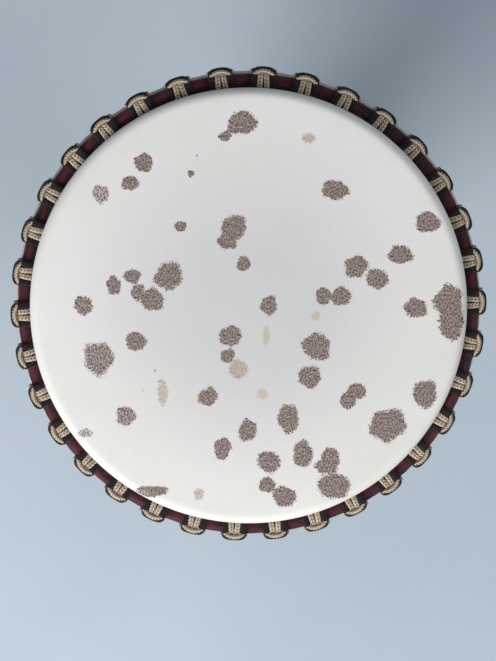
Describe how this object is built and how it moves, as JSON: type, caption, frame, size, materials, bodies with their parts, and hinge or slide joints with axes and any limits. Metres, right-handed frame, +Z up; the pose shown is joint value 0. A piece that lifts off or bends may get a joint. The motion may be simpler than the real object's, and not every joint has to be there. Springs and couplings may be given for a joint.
{
  "type": "goblet hand drum",
  "caption": "Rope-tuned wooden goblet drum with a goatskin head, three steel rings and cow-hitched two-colour cord round the crown, standing on its foot.",
  "frame": {"origin": "centre of the foot's underside, on the drum's axis", "axes": "+Z up along the drum's axis, from the foot to the playing surface; +Y points to the top of the head's picture, seen from above with +X to the right"},
  "size_m": [0.3664, 0.365, 0.6201],
  "materials": {
    "wood": "oiled hardwood, hand carved",
    "goatskin": "shaved goatskin, matt, with grey-brown hair spots",
    "steel": "black enamelled bar",
    "ring_cloth": "burgundy cotton strip, wound",
    "cord_tan": "tan braided cord",
    "cord_black": "black braided cord",
    "rope_tan": "tan braided low-stretch rope",
    "rubber": "matt black rubber strip",
    "tack": "dulled brass tack heads"
  },
  "bodies": {
    "shell": {"shell": "wood", "drum_head": "goatskin", "base_ring": "steel", "base_ring_cloth": "ring_cloth", "base_hitches": "cord_tan", "tension_rope": "rope_tan", "weave_rope": "rope_tan", "foot_rubber": "rubber", "foot_tacks": "tack"},
    "hoops": {"flesh_ring": "steel", "crown_ring": "steel", "crown_ring_cloth": "ring_cloth", "crown_hitches_tan": "cord_tan", "crown_hitches_black": "cord_black"}
  },
  "joints": [
    {"name": "head_tension", "type": "slide", "parent": "shell", "child": "hoops", "axis": [0, 0, -1], "range_m": [0, 0.006], "deforming": ["drum_head", "tension_rope"]}
  ]
}
